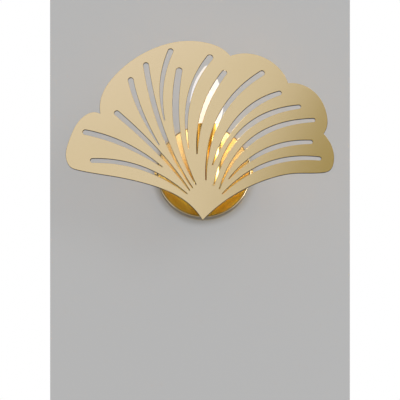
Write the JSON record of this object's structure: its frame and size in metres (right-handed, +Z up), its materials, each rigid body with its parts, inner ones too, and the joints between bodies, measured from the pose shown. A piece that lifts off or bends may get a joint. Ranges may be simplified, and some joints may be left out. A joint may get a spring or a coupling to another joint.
{
  "type": "wall sconce",
  "caption": "Wall light with a flat fretted shell plate on a folded arm, standing in front of a candle lamp on a round canopy.",
  "frame": {"origin": "on the wall, at the centre of the canopy and midway between the two wall slots", "axes": "+Z up, +Y into the wall, so the light faces -Y; +X to the right of someone facing it"},
  "size_m": [0.2711, 0.083, 0.1864],
  "materials": {
    "shell_gold": "satin champagne-gold lacquer",
    "canopy_gold": "polished and lacquered",
    "sleeve_gold": "polished and lacquered",
    "cup_gold": "polished and lacquered",
    "arm_gold": "satin lacquer",
    "gold_screws": "polished",
    "zinc_steel": "bright zinc plate",
    "black_rubber": "moulded",
    "block_nylon": "moulded natural nylon",
    "terminal_brass": "turned and pressed",
    "steel_screws": "zinc plate",
    "tinned_copper": "tinned",
    "copper": "drawn copper wire",
    "live_brown": "extruded insulation",
    "neutral_blue": "extruded insulation",
    "earth_green_yellow": "extruded insulation, green and yellow",
    "sleeving_white": "braided glass-fibre sleeving",
    "holder_thermoset": "moulded thermoset",
    "opal_glass": "opal, lit",
    "clear_glass": "clear",
    "cap_nickel": "nickel plated",
    "cap_black": "black cap glass",
    "solder": "solder",
    "nickel_wire": "drawn",
    "filament_yellow": "silicone-coated strips"
  },
  "bodies": {
    "fixture": {"arm_nuts": "zinc_steel", "arm_screws": "gold_screws", "arm_washers": "zinc_steel", "cable_grommet": "black_rubber", "canopy": "canopy_gold", "canopy_screws": "gold_screws", "carrier_arm": "arm_gold", "centre_contact": "terminal_brass", "contact_shell": "terminal_brass", "earth_lead": "earth_green_yellow", "earth_ring": "tinned_copper", "earth_screw": "terminal_brass", "earth_washer": "zinc_steel", "holder_base": "holder_thermoset", "holder_body": "holder_thermoset", "holder_screws": "steel_screws", "holder_terminals": "terminal_brass", "lamp_sleeve": "sleeve_gold", "lead_ends": "copper", "lead_sleeving": "sleeving_white", "live_lead": "live_brown", "neutral_lead": "neutral_blue", "shell_nuts": "zinc_steel", "shell_plate": "shell_gold", "shell_studs": "zinc_steel", "shell_washers": "zinc_steel", "sleeve_cup": "cup_gold", "stem_nuts": "zinc_steel", "stem_tube": "zinc_steel", "stem_washer": "zinc_steel", "terminal_block": "block_nylon", "terminal_fixing": "steel_screws", "terminal_inserts": "terminal_brass", "terminal_screws": "steel_screws", "wall_bracket": "zinc_steel"},
    "bulb": {"bulb_glass": "opal_glass", "bulb_cap": "cap_nickel", "cap_insulator": "cap_black", "cap_contact": "solder", "bulb_mount": "clear_glass", "filament_wires": "nickel_wire", "bulb_filaments": "filament_yellow"}
  },
  "joints": [
    {"name": "bulb_lift", "type": "slide", "parent": "fixture", "child": "bulb", "axis": [0, 0, 1], "range_m": [0, 0.035]}
  ]
}
